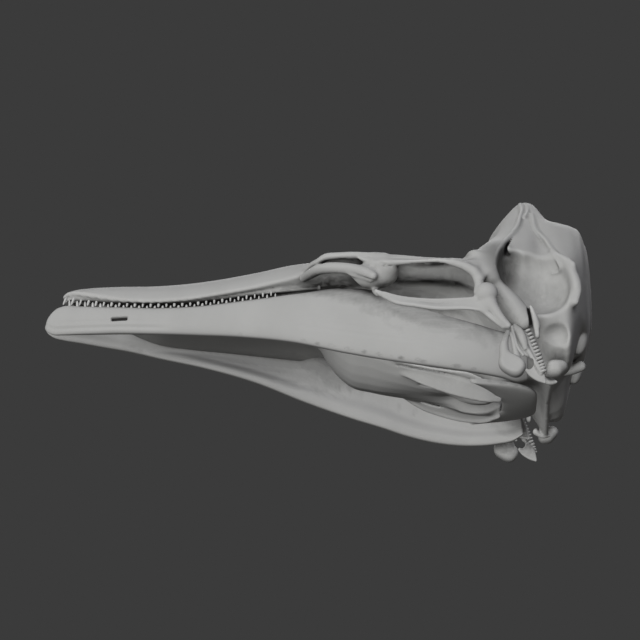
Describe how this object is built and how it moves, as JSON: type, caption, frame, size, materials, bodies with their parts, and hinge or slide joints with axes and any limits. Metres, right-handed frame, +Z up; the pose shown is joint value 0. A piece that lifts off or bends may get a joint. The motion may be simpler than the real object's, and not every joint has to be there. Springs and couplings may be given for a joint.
{
  "type": "dalls porpoise skull",
  "caption": "Porpoise skull with closed jaws: long tapering snout, peg teeth, splayed lower jaws, slim cheek bars, deep temple hollows and domed back of the head.",
  "frame": {"origin": "middle of the skull's box at the surface it rests on", "axes": "+X from the snout to the back of the head, +Y to the animal's right side, +Z up"},
  "size_m": [0.3294, 0.174, 0.1446],
  "materials": {
    "skull_bone": "matte pale grey bone with fine grain",
    "jaw_bone": "matte pale grey bone with long grain",
    "ear_bone": "dense smooth pale bone",
    "throat_bone": "matte grey bone",
    "teeth": "worn enamel, slightly glossy"
  },
  "bodies": {
    "root": {"cranium": "skull_bone", "mandible_left": "jaw_bone", "mandible_right": "jaw_bone", "ear_bone_left": "ear_bone", "ear_bone_right": "ear_bone", "periotic_left": "ear_bone", "periotic_right": "ear_bone", "hyoid": "throat_bone", "teeth_upper_left": "teeth", "teeth_upper_right": "teeth", "teeth_lower_left": "teeth", "teeth_lower_right": "teeth"}
  },
  "joints": []
}
